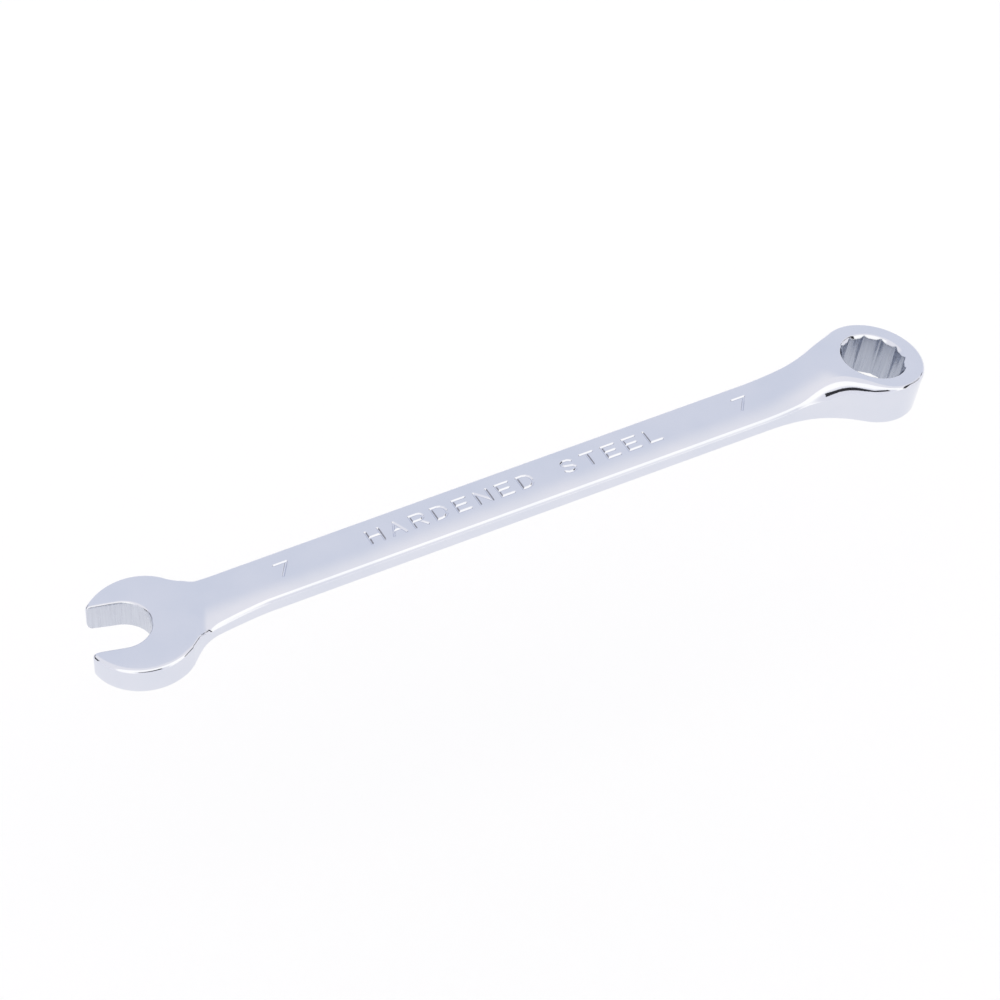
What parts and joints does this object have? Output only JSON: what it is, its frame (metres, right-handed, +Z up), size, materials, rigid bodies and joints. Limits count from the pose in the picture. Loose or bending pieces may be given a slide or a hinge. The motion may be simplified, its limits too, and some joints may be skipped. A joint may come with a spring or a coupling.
{
  "type": "combination wrench",
  "caption": "Slim chrome combination wrench: an angled open jaw at one end and a leaned twelve-point ring at the other, joined by a flat shank.",
  "frame": {"origin": "centre of the underside of the wrench's bounding box, with the shank level", "axes": "+X along the shank from the open jaw to the ring, +Z up out of the face whose ring stands proud near the shank, +Y completes the right hand"},
  "size_m": [0.11, 0.0152, 0.008],
  "materials": {
    "polished_chrome": "mirror polished chrome plate with faint polishing haze"
  },
  "bodies": {
    "root": {"leading_jaw": "polished_chrome", "trailing_jaw": "polished_chrome", "jaw_web": "polished_chrome", "open_end_neck": "polished_chrome", "shank": "polished_chrome", "ring_end_neck": "polished_chrome", "ring_end_socket": "polished_chrome"}
  },
  "joints": []
}
